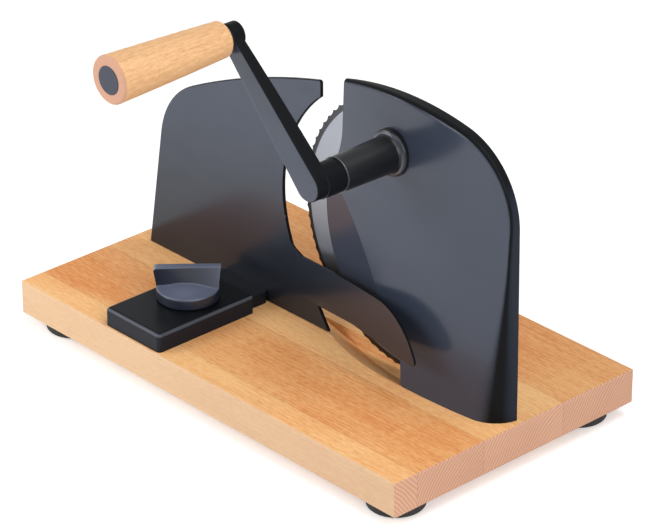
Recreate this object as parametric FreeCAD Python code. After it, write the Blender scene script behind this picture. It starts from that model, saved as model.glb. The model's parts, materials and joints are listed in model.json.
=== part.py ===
import FreeCAD, Part
import math
import os

# Hand cranked bread slicer. All lengths are in millimetres and all angles in degrees.
# Every piece is drawn with z = 0 at the top face of the board, then raised so that the feet stand at z = 0.
# +X runs along the board towards the blade, -Y is the crank's side and +Z is up.

V = FreeCAD.Vector

# Board and feet
board_length = 360.0
board_width = 210.0
board_thickness = 24.0
board_edge_radius = 0.8
foot_diameter = 38.0
foot_height = 10.0
foot_inset = 24.5
foot_edge_radius = 2.5
foot_screw_diameter = 4.0
foot_screw_length = 16.0
foot_screw_cover = 4.0
screw_seat_depth = 6.0
screw_head_ratio = 1.9
screw_head_height_ratio = 0.6
counterbore_ratio = 2.3
hole_clearance = 0.05

# Blade and its gear
blade_diameter = 190.0
blade_thickness = 1.2
blade_end_gap = 9.0
blade_dip = 5.6
blade_front_y = 4.6
blade_bevel_width = 5.0
blade_edge_thickness = 0.4
serration_pitch = 7.46
serration_depth = 1.3
pilot_diameter = 32.0
gear_module = 1.5
blade_gear_teeth = 56
pinion_teeth = 28
gear_thickness = 3.4
gear_backlash = 0.2
web_holes = 6
web_hole_diameter = 13.0
web_hole_circle = 31.5
blade_screws_count = 3
blade_screw_circle = 24.0
blade_screw_diameter = 4.0
axle_diameter = 12.0
bush_wall = 2.0
hub_diameter = 24.0
hub_front_y = -3.8
running_clearance = 0.05
axial_clearance = 0.15

# Housing
wall = 2.4
housing_back_y = 3.8
base_front_y = -19.0
face_middle_offset = 24.0
face_bulge = 6.45
crown_depth = 8.6
exposed_blade = 25.0
left_edge_inset = 16.0
left_bend_radius = 45.0
left_edge_flare = 2.2
leg_offset = 19.0
leg_turn_offset = 16.5
rim_margin = 4.8
side_lean = 0.014
crown_margin = 5.3
crown_drop = 8.0
crown_middle_offset = 6.3
shoulder_radius = 56.0
corner_base_radius = 24.0
ramp_edge_y = 0.0
ramp_slope = 0.24
ramp_lean = 0.03
crease_radius = 3.0
edge_radius = 1.2
leg_floor = 6.0
boss_diameter = 26.0
post_diameter = 11.0
post_height = 26.0
post_cap = 4.0
screw_end_gap = 1.0
post_margin = 14.0
post_corner_shift = 3.5
recess_radius = 179.0
recess_offset = 9.0
recess_clearance = 2.0
recess_back_gap = 3.0
recess_end_gap = 6.0
housing_screw_diameter = 5.0

# Crank
crank_offset_x = -2.9
shaft_diameter = 10.0
sleeve_end_y = -54.0
sleeve_end_diameter = 22.9
sleeve_root_diameter = 24.4
flange_diameter = 30.8
flange_thickness = 4.0
spigot_diameter = 20.0
bush_diameter = 14.0
bush_length = 12.0
bush_flange = 0.6
washer_thickness = 0.9
arm_length = 103.8
arm_angle = 132.35
arm_front_y = -80.8
arm_outward_lean = 1.9
arm_hub_thickness = 11.0
arm_tip_thickness = 5.8
arm_back_bulge = 0.8
arm_hub_radius = 10.3
arm_tip_radius = 6.1
arm_edge_radius = 1.0
knuckle_radius = 8.3
knuckle_length = 9.2
hub_radius = 11.0
shaft_end_cover = 4.0
set_screw_diameter = 5.0

# Grip
grip_gap = 3.2
grip_length = 89.5
grip_inner_radius = 11.8
grip_middle_radius = 13.8
grip_outer_radius = 15.5
grip_outer_rounding = 1.5
grip_inner_rounding = 2.2
pin_diameter = 8.0
grip_bore_clearance = 0.1
plug_diameter = 18.4
plug_length = 5.0
plug_pocket_depth = 14.0
grip_screw_diameter = 5.0
grip_screw_length = 12.0

# Stop plate and slice guide
plate_front_y = -4.5
plate_thickness = 2.2
plate_lift = 0.6
plate_edge_gap = 3.4
plate_edge_shift = 8.4
plate_edge_turn_z = 16.0
plate_edge_top_angle = 50.75
plate_edge_round = 0.8
plate_end_gap = 14.3
plate_foot_offset = 63.6
plate_side_lean = 13.8
plate_side_drop = 1.4
plate_shoulder_run = 45.0
plate_shoulder_rise = 41.2
plate_nose_height = 9.0
plate_crest_run = 2.2
plate_crest_rise = 10.9
guide_offset = 94.0
guide_thickness = 1.6
guide_angle = 12.0
guide_length = 140.5
guide_tip_z = 34.0
guide_tip_radius = 4.0
guide_lower_edge = [(-6.0, 18.0), (25.6, 20.3), (68.3, 26.7), (137.0, 29.6)]
guide_upper_edge = [(98.0, 58.4), (65.7, 55.6), (6.8, 47.0)]
guide_tip_bulge = (120.0, 54.2)
guide_heel_bulge = (-3.5, 51.0)
guide_heel_top = (-10.0, 70.0)
guide_heel_width = 8.0

# Thickness adjuster
adjuster_offset = 143.6
adjuster_width = 54.0
adjuster_end_gap = 1.8
adjuster_back_y = -22.8
adjuster_height = 13.0
adjuster_edge_radius = 3.0
slide_width = 44.6
slide_tail_width = 30.0
slide_top = 8.4
slide_clearance = 0.3
slide_out = 14.5
slide_in = 4.5
slide_corner_radius = 4.0
knob_y = -54.4
rack_module = 1.0
rack_teeth = 10
knob_pinion_teeth = 16
rack_addendum = 0.8
knob_pinion_bottom = 1.4
spindle_diameter = 10.0
drive_square = 7.0
adjuster_screw_diameter = 4.0
adjuster_screw_spread = 20.0
plate_screw_diameter = 4.0
plate_screw_length = 12.0
plate_screw_spread = 13.0
plate_screw_z = 4.4

# Knob
knob_diameter = 41.7
knob_rim_height = 7.6
knob_dome_height = 2.7
knob_grip_length = 44.8
knob_grip_thickness = 6.8
knob_grip_lead = 1.7
knob_grip_height = 21.3
knob_grip_angle = 46.5
knob_edge = 0.8
knob_back_drop = 6.0
knob_shoulder = 1.0
knob_square_depth = 3.5
knob_screw_diameter = 3.0
knob_screw_seat = 4.0
knob_screw_reach = 7.0
knob_washer_thickness = 0.6

# Sizes that follow
top = foot_height + board_thickness
blade_radius = blade_diameter / 2
blade_x = board_length / 2 - blade_end_gap - blade_radius
blade_z = blade_radius - blade_dip
blade_back_y = blade_front_y + blade_thickness
serrations = round(math.pi * blade_diameter / serration_pitch)
face_middle_x = blade_x + face_middle_offset
left_radius = blade_radius - exposed_blade
left_x = blade_x - left_radius + left_edge_inset
leg_left_x = blade_x + leg_offset
right_x = blade_x + blade_radius + rim_margin
crown_mid_x = blade_x + crown_middle_offset
crown_mid_z = blade_z + blade_radius + crown_margin
face_lean = (housing_back_y - crown_depth - base_front_y) / crown_mid_z
face_radius = (face_middle_x - left_x) ** 2 / (2 * face_bulge)
right_top_x = right_x - side_lean * crown_mid_z
centre_distance = gear_module * (blade_gear_teeth + pinion_teeth) / 2
crank_x = blade_x + crank_offset_x
crank_z = blade_z + math.sqrt(centre_distance ** 2 - crank_offset_x ** 2)
gear_front_y = blade_front_y - gear_thickness
axle_bore = axle_diameter + 2 * bush_wall
hub_front_face_y = arm_front_y + arm_outward_lean
hub_back_y = hub_front_face_y + arm_hub_thickness
washer_front_y = sleeve_end_y - washer_thickness
boss_back_y = gear_front_y - bush_flange - axial_clearance
arm_direction = V(math.cos(math.radians(arm_angle)), 0, math.sin(math.radians(arm_angle)))
grip_x = crank_x + arm_length * arm_direction.x
grip_z = crank_z + arm_length * arm_direction.z
grip_inner_y = arm_front_y - grip_gap
grip_outer_y = grip_inner_y - grip_length
pocket_floor_y = grip_outer_y + plug_pocket_depth
pin_end_y = pocket_floor_y - axial_clearance
plate_edge_radius = blade_radius + plate_edge_gap
plate_back_y = plate_front_y + plate_thickness
plate_foot_left_x = plate_end_gap - board_length / 2
plate_foot_right_x = blade_x - plate_foot_offset
guide_root_x = blade_x - guide_offset
adjuster_x = blade_x - adjuster_offset
adjuster_front_y = adjuster_end_gap - board_width / 2
knob_pinion_radius = rack_module * knob_pinion_teeth / 2
knob_x = adjuster_x - 0.8
channel_top = slide_top + slide_clearance
knob_bottom = adjuster_height + knob_washer_thickness


def face_y(x, z):
    """Front face of the housing, which bulges in plan and leans back."""
    return base_front_y + face_lean * z + (x - face_middle_x) ** 2 / (2 * face_radius)


def box(x0, x1, y0, y1, z0, z1):
    return Part.makeBox(x1 - x0, y1 - y0, z1 - z0, V(x0, y0, z0))


def cylinder_y(diameter, y0, y1, x, z):
    return Part.makeCylinder(diameter / 2, y1 - y0, V(x, y0, z), V(0, 1, 0))


def cylinder_z(diameter, z0, z1, x, y):
    return Part.makeCylinder(diameter / 2, z1 - z0, V(x, y, z0), V(0, 0, 1))


def ring_y(outer, inner, y0, y1, x, z):
    return cylinder_y(outer, y0, y1, x, z).cut(cylinder_y(inner, y0 - 1, y1 + 1, x, z))


def line(a, b):
    return Part.LineSegment(a, b).toShape()


def arc(a, b, c):
    return Part.Arc(a, b, c).toShape()


def prism(edges, direction):
    """Solid swept from a closed chain of edges."""
    return Part.Face(Part.Wire(Part.__sortEdges__(edges))).extrude(direction)


def polygon_prism(points, direction):
    return Part.Face(Part.makePolygon(points + points[:1])).extrude(direction)


def turned_y(profile, x, z):
    """Solid of revolution about an axis along Y. The profile is a list of (y, radius)."""
    points = [V(x + radius, y, z) for y, radius in profile]
    face = Part.Face(Part.makePolygon(points + points[:1]))
    return face.revolve(V(x, 0, z), V(0, 1, 0), 360)


def turned_z(profile, x, y):
    """Solid of revolution about an axis along Z. The profile is a list of (radius, z)."""
    points = [V(x + radius, y, z) for radius, z in profile]
    face = Part.Face(Part.makePolygon(points + points[:1]))
    return face.revolve(V(x, y, 0), V(0, 0, 1), 360)


def around(count, centre, axis, radius_vector):
    """Points spaced evenly round an axis."""
    spots = []
    for i in range(count):
        turned = FreeCAD.Rotation(axis, 360.0 * i / count).multVec(radius_vector)
        spots.append(centre + turned)
    return spots


def cap_screw(diameter, length, seat, direction):
    """Round headed screw with a cross slot. The head stands on the seat, away from the direction."""
    head_diameter = screw_head_ratio * diameter
    head_height = screw_head_height_ratio * diameter
    shank = Part.makeCylinder(diameter / 2, length, seat, direction)
    head = Part.makeCylinder(head_diameter / 2, head_height, seat, direction * -1)
    crown = [e for e in head.Edges if e.CenterOfMass.distanceToPoint(seat - direction * head_height) < 0.01]
    head = head.makeFillet(head_height * 0.3, crown)
    arm, slot_width = 0.6 * head_diameter, 0.2 * diameter
    slot = Part.makeBox(arm, slot_width, head_height / 2, V(-arm / 2, -slot_width / 2, 0))
    cross = slot.fuse(slot.rotated(V(0, 0, 0), V(0, 0, 1), 90))
    cross.Placement = FreeCAD.Placement(seat - direction * head_height, FreeCAD.Rotation(V(0, 0, 1), direction))
    return shank.fuse(head.cut(cross)).removeSplitter()


def group(shapes):
    return Part.makeCompound(shapes)


def involute(angle):
    return math.tan(angle) - angle


def gear_blank(teeth, module, thickness, first_tooth):
    """Spur gear from the XY plane up, with one tooth centred on the angle first_tooth."""
    pitch_radius = module * teeth / 2
    base_radius = pitch_radius * math.cos(math.radians(20))
    tip_radius = pitch_radius + module
    root_radius = pitch_radius - 1.25 * module
    half_at_pitch = math.pi / (2 * teeth) - gear_backlash / (4 * pitch_radius) + involute(math.radians(20))

    def half_tooth(radius):
        return half_at_pitch - involute(math.acos(min(1.0, base_radius / radius)))

    def spot(radius, angle):
        return V(radius * math.cos(angle), radius * math.sin(angle), 0)

    edges = []
    for i in range(teeth):
        middle = math.radians(first_tooth) + 2 * math.pi * i / teeth
        following = middle + 2 * math.pi / teeth
        low, mid, high = half_tooth(root_radius), half_tooth(pitch_radius), half_tooth(tip_radius)
        rise = [spot(root_radius, middle - low), spot(pitch_radius, middle - mid),
                spot(tip_radius, middle - high)]
        fall = [spot(tip_radius, middle + high), spot(pitch_radius, middle + mid),
                spot(root_radius, middle + low)]
        edges += [arc(*rise), line(rise[2], fall[0]), arc(*fall)]
        edges.append(line(fall[2], spot(root_radius, following - low)))
    return prism(edges, V(0, 0, thickness))


def gear_y(teeth, y0, y1, x, z, first_tooth):
    """Gear on an axis along Y. The angle of its first tooth is measured from +X towards +Z."""
    gear = gear_blank(teeth, gear_module, y1 - y0, -first_tooth)
    gear.rotate(V(0, 0, 0), V(1, 0, 0), -90)
    gear.translate(V(x, y0, z))
    return gear


# Board and feet

def foot_centres():
    x, y = board_length / 2 - foot_inset, board_width / 2 - foot_inset
    return [(x, y), (-x, y), (-x, -y), (x, -y)]


def adjuster_screw_places():
    rows = (adjuster_front_y + 8.5, knob_y - 5.0)
    return [(adjuster_x + side * adjuster_screw_spread, y) for side in (-1, 1) for y in rows]


def post_places():
    """Axes of the posts in the housing's leg, midway between its front and its back."""
    first, last = leg_left_x + post_margin, right_x - post_margin
    places = []
    for x in (first, (first + last) / 2, last):
        places.append((x, (face_y(x, 0) + housing_back_y) / 2))
    places[-1] = (last, places[-1][1] + post_corner_shift)
    return places


def slice_recess():
    """Scoop under the slice, with a curved ramp in front, and the slot that the blade dips into."""
    depth = blade_dip + recess_clearance
    ramp_run = 2 * depth
    cone = Part.makeCone(recess_radius - ramp_run, recess_radius, depth,
                         V(blade_x + recess_offset, base_front_y + recess_radius, -depth), V(0, 0, 1))
    back_y = blade_back_y + recess_back_gap
    scoop = cone.common(box(blade_x - blade_radius, leg_left_x, base_front_y - 1, back_y, -depth, 1))
    reach = math.sqrt(blade_radius ** 2 - blade_z ** 2) + recess_end_gap
    slot = box(blade_x - reach, blade_x + reach, housing_back_y, back_y, -depth, 1)
    return scoop.fuse(slot)


def base_board():
    x, y = board_length / 2, board_width / 2
    board = box(-x, x, -y, y, -board_thickness, 0)
    board = board.makeFillet(board_edge_radius, board.Edges)
    board = board.cut(slice_recess())
    seat = screw_seat_depth - board_thickness
    for screw_x, screw_y in post_places():
        board = board.cut(cylinder_z(housing_screw_diameter + 2 * hole_clearance, seat, 1, screw_x, screw_y))
        board = board.cut(cylinder_z(counterbore_ratio * housing_screw_diameter, -board_thickness, seat,
                                     screw_x, screw_y))
    for screw_x, screw_y in adjuster_screw_places():
        board = board.cut(cylinder_z(adjuster_screw_diameter + 2 * hole_clearance, seat, 1, screw_x, screw_y))
        board = board.cut(cylinder_z(counterbore_ratio * adjuster_screw_diameter, -board_thickness, seat,
                                     screw_x, screw_y))
    for foot_x, foot_y in foot_centres():
        board = board.cut(cylinder_z(foot_screw_diameter + 2 * hole_clearance, -board_thickness,
                                     foot_screw_length - foot_screw_cover + axial_clearance - board_thickness,
                                     foot_x, foot_y))
    return board


def rubber_feet():
    feet = []
    sole_z = -board_thickness - foot_height
    for x, y in foot_centres():
        foot = cylinder_z(foot_diameter, sole_z, -board_thickness, x, y)
        sole = [e for e in foot.Edges if abs(e.CenterOfMass.z - sole_z) < 0.01]
        foot = foot.makeFillet(foot_edge_radius, sole)
        foot = foot.cut(cylinder_z(foot_screw_diameter + 4 * hole_clearance, sole_z, -board_thickness, x, y))
        foot = foot.cut(cylinder_z(counterbore_ratio * foot_screw_diameter, sole_z,
                                   -board_thickness - foot_screw_cover, x, y))
        feet.append(foot)
    return group(feet)


def foot_screws():
    seat_z = -board_thickness - foot_screw_cover
    return group([cap_screw(foot_screw_diameter, foot_screw_length, V(x, y, seat_z), V(0, 0, 1))
                  for x, y in foot_centres()])


# Housing

def housing_outline(inset, y0, y1):
    """Outline seen from the front, drawn inside the outer edge by the inset and swept from y0 to y1."""
    crown_half = crown_mid_x - left_x
    radius = (crown_half ** 2 + crown_drop ** 2) / (2 * crown_drop) - inset
    centre_z = crown_mid_z - inset - radius
    x_left, x_right = left_x + inset, right_top_x - inset
    x_corner = x_left - left_edge_flare

    def crown(x):
        return V(x, y0, centre_z + math.sqrt(radius ** 2 - (x - crown_mid_x) ** 2))

    arc_radius = left_radius - inset
    bottom_z = leg_floor if inset else 0.0
    turn_x = blade_x + leg_turn_offset + inset
    turn = V(turn_x, y0, blade_z - math.sqrt(arc_radius ** 2 - (turn_x - blade_x) ** 2))
    rise = V(x_left, y0, blade_z + math.sqrt(arc_radius ** 2 - (blade_x - x_left) ** 2))
    middle = V(blade_x - arc_radius, y0, blade_z)
    leg_foot, right_foot = V(leg_left_x + inset, y0, bottom_z), V(right_x - inset, y0, bottom_z)
    shoulder = crown(x_right)
    edges = [
        line(leg_foot, turn),
        arc(turn, middle, rise),
        line(rise, crown(x_corner)),
        arc(crown(x_corner), crown(crown_mid_x), shoulder),
        line(shoulder, right_foot),
        line(right_foot, leg_foot),
    ]
    body = prism(edges, V(0, y1 - y0, 0))

    def edge_at(shape, spot):
        return [e for e in shape.Edges if e.distToShape(Part.Vertex(spot + V(0, (y1 - y0) / 2, 0)))[0] < 0.01]

    body = body.makeFillet(shoulder_radius - inset, edge_at(body, shoulder))
    return body.makeFillet(left_bend_radius + inset, edge_at(body, rise))


def front_barrel(inset):
    """Large leaning cylinder whose front side is the housing's bulging face."""
    axis = V(0, face_lean, 1)
    centre_y = base_front_y + face_radius * math.sqrt(1 + face_lean ** 2)
    foot = V(face_middle_x, centre_y, 0) - axis * crown_mid_z
    return Part.makeCylinder(face_radius - inset, 3 * crown_mid_z, foot, axis)


def slice_ramp(inset):
    """Space behind the flat that leads the slice over the housing's left edge."""
    far = 2 * crown_mid_z
    edge_x = blade_x - left_radius
    shift = inset * math.sqrt(1 + ramp_slope ** 2) - ramp_lean * (far - blade_z)
    return polygon_prism([
        V(edge_x - far, ramp_edge_y + ramp_slope * far + shift, far),
        V(edge_x + far, ramp_edge_y - ramp_slope * far + shift, far),
        V(edge_x + far, 2 * far, far), V(edge_x - far, 2 * far, far)], V(0, 2 * ramp_lean * far, -2 * far))


def housing_body(inset, back_y):
    """Housing as a block, drawn inside its outer faces by the inset."""
    front = base_front_y - 10.0
    block = housing_outline(inset, front, back_y).common(front_barrel(inset))
    corner = [e for e in block.Edges
              if e.CenterOfMass.x > crown_mid_x and e.CenterOfMass.y < housing_back_y - 1
              and e.BoundBox.ZLength > blade_radius]
    block = block.makeFillet(corner_base_radius - inset, crease_radius - inset, corner)
    return block.common(slice_ramp(inset))


def blade_housing():
    front = base_front_y - 10.0
    solid = housing_body(0, housing_back_y)
    left_edges = [e for e in solid.Edges
                  if abs(e.CenterOfMass.x - left_x) < left_edge_flare and e.CenterOfMass.y < housing_back_y - 1
                  and e.CenterOfMass.z > blade_z]
    solid = solid.makeFillet(edge_radius, left_edges)
    shell = solid.cut(housing_body(wall, housing_back_y + 1.0))
    blade_boss = cylinder_y(boss_diameter, front, hub_front_y - axial_clearance, blade_x, blade_z)
    crank_boss = cylinder_y(boss_diameter + 4.0, front, boss_back_y, crank_x, crank_z)
    posts = [cylinder_z(post_diameter, 0, post_height, x, y) for x, y in post_places()]
    for part in [blade_boss, crank_boss] + posts:
        shell = shell.fuse(part.common(solid))
    shell = shell.cut(cylinder_y(axle_diameter, axle_front_y(), blade_front_y, blade_x, blade_z))
    shell = shell.cut(cylinder_y(spigot_diameter, front, blade_front_y, crank_x, crank_z))
    for x, y in post_places():
        shell = shell.cut(cylinder_z(housing_screw_diameter + 2 * hole_clearance, -1,
                                     post_height - post_cap, x, y))
    return shell.removeSplitter()


def housing_screws():
    seat_z = screw_seat_depth - board_thickness
    length = post_height - post_cap - screw_end_gap - seat_z
    return group([cap_screw(housing_screw_diameter, length, V(x, y, seat_z), V(0, 0, 1))
                  for x, y in post_places()])


# Blade group

def circular_blade():
    radius, x, z = blade_radius, blade_x, blade_z
    land = radius - blade_bevel_width
    disc = turned_y([
        (blade_front_y, 0), (blade_front_y, land), (blade_back_y - blade_edge_thickness, radius),
        (blade_back_y, radius), (blade_back_y, 0)], x, z)
    disc = disc.cut(cylinder_y(pilot_diameter, blade_front_y - 1, blade_back_y + 1, x, z))
    pitch = math.pi * blade_diameter / serrations
    scallop_radius = (pitch ** 2 / 4 + serration_depth ** 2) / (2 * serration_depth)
    spots = around(serrations, V(x, 0, z), V(0, 1, 0), V(0, 0, radius - serration_depth + scallop_radius))
    scallops = [cylinder_y(2 * scallop_radius, blade_front_y - 1, blade_back_y + 1, s.x, s.z) for s in spots]
    disc = disc.cut(scallops)
    for s in around(blade_screws_count, V(x, 0, z), V(0, 1, 0), V(0, 0, blade_screw_circle)):
        disc = disc.cut(cylinder_y(blade_screw_diameter + 2 * hole_clearance,
                                   blade_front_y - 1, blade_back_y + 1, s.x, s.z))
    return disc


def crank_line_angle():
    return math.degrees(math.atan2(crank_z - blade_z, crank_x - blade_x))


def blade_gear():
    x, z = blade_x, blade_z
    gear = gear_y(blade_gear_teeth, gear_front_y, blade_front_y, x, z, crank_line_angle())
    first_hole = V(web_hole_circle / 2, 0, web_hole_circle * math.cos(math.radians(30)))
    for s in around(web_holes, V(x, 0, z), V(0, 1, 0), first_hole):
        gear = gear.cut(cylinder_y(web_hole_diameter, gear_front_y - 1, blade_front_y + 1, s.x, s.z))
    gear = gear.fuse(cylinder_y(hub_diameter, hub_front_y, gear_front_y + 1, x, z))
    gear = gear.fuse(cylinder_y(pilot_diameter, blade_front_y - 1, blade_back_y, x, z))
    gear = gear.cut(cylinder_y(axle_bore, hub_front_y - 1, blade_back_y + 1, x, z))
    for s in around(blade_screws_count, V(x, 0, z), V(0, 1, 0), V(0, 0, blade_screw_circle)):
        gear = gear.cut(cylinder_y(blade_screw_diameter + 2 * hole_clearance,
                                   gear_front_y - 1, blade_front_y + 1, s.x, s.z))
    return gear.removeSplitter()


def blade_bush():
    return ring_y(axle_bore, axle_diameter + 2 * running_clearance, hub_front_y, blade_back_y,
                  blade_x, blade_z)


def blade_screws():
    spots = around(blade_screws_count, V(blade_x, 0, blade_z), V(0, 1, 0), V(0, 0, blade_screw_circle))
    length = blade_thickness + gear_thickness
    return group([cap_screw(blade_screw_diameter, length, V(s.x, blade_back_y, s.z), V(0, -1, 0))
                  for s in spots])


def axle_front_y():
    return face_y(blade_x, blade_z) + wall


def blade_axle():
    end_y = blade_back_y + axial_clearance
    axle = cylinder_y(axle_diameter, axle_front_y(), end_y, blade_x, blade_z)
    return axle.cut(cylinder_y(6.0, end_y - 10.0, end_y + 1, blade_x, blade_z))


def blade_washer():
    start = blade_back_y + axial_clearance
    return ring_y(hub_diameter + 2.0, 6.4, start, start + 0.8, blade_x, blade_z)


def blade_retaining_screw():
    seat = blade_back_y + axial_clearance + 0.8
    head = cylinder_y(18.0, seat, seat + 3.0, blade_x, blade_z)
    rim = [e for e in head.Edges if abs(e.CenterOfMass.y - seat - 3.0) < 0.01]
    head = head.makeFillet(1.0, rim)
    head = head.cut(box(blade_x - 10, blade_x + 10, seat + 1.6, seat + 4, blade_z - 0.8, blade_z + 0.8))
    return head.fuse(cylinder_y(6.0, seat - 9.0, seat, blade_x, blade_z))


# Crank group

def bearing_sleeve():
    face = face_y(crank_x, crank_z)
    end, root = sleeve_end_diameter / 2, sleeve_root_diameter / 2
    rim = flange_diameter / 2
    lip = face - flange_thickness
    sleeve = turned_y([
        (sleeve_end_y, 0), (sleeve_end_y, end), (lip - 2.0, root), (lip - 0.5, root + 0.7),
        (lip, rim - 1.2), (lip + 0.5, rim - 0.4), (lip + 1.4, rim), (face + 4.0, rim), (face + 4.0, 0)],
        crank_x, crank_z)
    sleeve = sleeve.cut(front_barrel(0))
    sleeve = sleeve.fuse(cylinder_y(spigot_diameter, face - 2.0, boss_back_y, crank_x, crank_z))
    sleeve = sleeve.cut(cylinder_y(shaft_diameter + 2.0, sleeve_end_y - 1, boss_back_y + 1, crank_x, crank_z))
    for start, stop in [(sleeve_end_y - 1, sleeve_end_y + bush_length), (boss_back_y - bush_length, boss_back_y + 1)]:
        sleeve = sleeve.cut(cylinder_y(bush_diameter, start, stop, crank_x, crank_z))
    return sleeve


def front_bush():
    return ring_y(bush_diameter, shaft_diameter + 2 * running_clearance,
                  sleeve_end_y, sleeve_end_y + bush_length, crank_x, crank_z)


def rear_bush():
    barrel = ring_y(bush_diameter, shaft_diameter + 2 * running_clearance,
                    boss_back_y - bush_length, boss_back_y + bush_flange, crank_x, crank_z)
    return barrel.fuse(ring_y(bush_diameter + 5.0, bush_diameter - 1.0,
                              boss_back_y, boss_back_y + bush_flange, crank_x, crank_z))


def shaft_with_flats(y0, y1):
    """Shaft with two flats at each end, where the arm and the pinion sit."""
    shaft = cylinder_y(shaft_diameter, y0, y1, crank_x, crank_z)
    flat = shaft_diameter / 2 - 1.0
    ends = [(y0 - 1, hub_back_y + 6.0), (gear_front_y, y1 + 1)]
    for start, stop in ends:
        for side in (-1, 1):
            low, high = sorted((side * flat, side * 20.0))
            shaft = shaft.cut(box(crank_x - 20, crank_x + 20, start, stop, crank_z + low, crank_z + high))
    return shaft


def crank_shaft():
    return shaft_with_flats(hub_front_face_y + shaft_end_cover, blade_front_y - axial_clearance)


def crank_pinion():
    # A gap of the pinion faces the blade's centre, where the blade gear has a tooth.
    towards_blade = crank_line_angle() + 180.0
    first_tooth = towards_blade + 180.0 / pinion_teeth
    end_y = blade_front_y - axial_clearance
    pinion = gear_y(pinion_teeth, gear_front_y, end_y, crank_x, crank_z, first_tooth)
    return pinion.cut(shaft_with_flats(arm_front_y, end_y + 1))


def crank_washer():
    return ring_y(sleeve_end_diameter + 0.6, shaft_diameter + 2 * running_clearance,
                  washer_front_y, sleeve_end_y - axial_clearance, crank_x, crank_z)


def arm_bar():
    """Tapered bar in XY, pointing along +X from the hub, with its outward side at low z."""
    hub, tip = V(0, 0, 0), V(arm_length, 0, 0)
    lean = math.asin((arm_hub_radius - arm_tip_radius) / arm_length)

    def rim(centre, radius, side):
        return centre + V(radius * math.sin(lean), radius * math.cos(lean) * side, 0)

    outline = prism([
        line(rim(hub, arm_hub_radius, 1), rim(tip, arm_tip_radius, 1)),
        arc(rim(tip, arm_tip_radius, 1), tip + V(arm_tip_radius, 0, 0), rim(tip, arm_tip_radius, -1)),
        line(rim(tip, arm_tip_radius, -1), rim(hub, arm_hub_radius, -1)),
        arc(rim(hub, arm_hub_radius, -1), hub - V(arm_hub_radius, 0, 0), rim(hub, arm_hub_radius, 1)),
    ], V(0, 0, 2 * arm_hub_thickness))
    start, end, y = -arm_hub_radius - 1, arm_length + arm_tip_radius + 1, -2 * arm_hub_radius
    slope = arm_outward_lean / arm_length
    low = [V(x, y, arm_outward_lean - slope * x) for x in (start, end)]
    back = arm_outward_lean + arm_hub_thickness
    high = [V(start, y, back), V((start + end) / 2, y, (back + arm_tip_thickness) / 2 + arm_back_bulge),
            V(end, y, arm_tip_thickness)]
    side = prism([line(low[0], low[1]), line(low[1], high[2]), arc(*high), line(high[0], low[0])],
                 V(0, -2 * y, 0))
    bar = outline.common(side)
    faces = [f for f in bar.Faces if f.CenterOfMass.z < arm_outward_lean]
    lowest = min(faces, key=lambda f: f.CenterOfMass.z)
    return bar.makeFillet(arm_edge_radius, lowest.Edges)


def crank_arm():
    """Tapered arm that leans outwards, with a knuckle at the grip and a hub on its back."""
    bar = arm_bar()
    knuckle = Part.makeCylinder(knuckle_radius, knuckle_length, V(arm_length, 0, 0))
    knuckle = knuckle.makeFillet(arm_edge_radius, [e for e in knuckle.Edges if e.Length > 2 * knuckle_length])
    bar = bar.fuse(knuckle)
    # Stand the bar up so that its outward side faces -Y and it points along the arm's angle.
    bar.rotate(V(0, 0, 0), V(1, 0, 0), -90)
    bar.rotate(V(0, 0, 0), V(0, 1, 0), -arm_angle)
    bar.translate(V(crank_x, arm_front_y, crank_z))
    bar = bar.fuse(cylinder_y(2 * hub_radius, hub_back_y - 2.0, washer_front_y, crank_x, crank_z))
    bar = bar.cut(shaft_with_flats(hub_front_face_y + shaft_end_cover, blade_front_y))
    bar = bar.cut(cylinder_y(pin_diameter, arm_front_y - 1, 0, grip_x, grip_z))
    bar = bar.cut(cylinder_z(set_screw_diameter, crank_z - 2 * hub_radius, crank_z, crank_x, set_screw_y()))
    return bar.removeSplitter()


def set_screw_y():
    return (hub_back_y + washer_front_y) / 2 + 2.0


def hub_set_screw():
    start = crank_z - hub_radius + 1.0
    screw = cylinder_z(set_screw_diameter, start, crank_z - shaft_diameter / 2, crank_x, set_screw_y())
    corners = around(6, V(crank_x, set_screw_y(), start), V(0, 0, 1), V(0.28 * set_screw_diameter, 0, 0))
    return screw.cut(polygon_prism(corners, V(0, 0, set_screw_diameter / 2)))


def handle_pin():
    tip_back = arm_front_y + knuckle_length - 0.5
    pin = cylinder_y(pin_diameter, pin_end_y, tip_back, grip_x, grip_z)
    return pin.cut(cylinder_y(grip_screw_diameter, pin_end_y - 1, pin_end_y + grip_screw_length,
                              grip_x, grip_z))


def grip_spacer():
    return ring_y(15.0, pin_diameter + 2 * running_clearance,
                  grip_inner_y + axial_clearance, arm_front_y, grip_x, grip_z)


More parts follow.
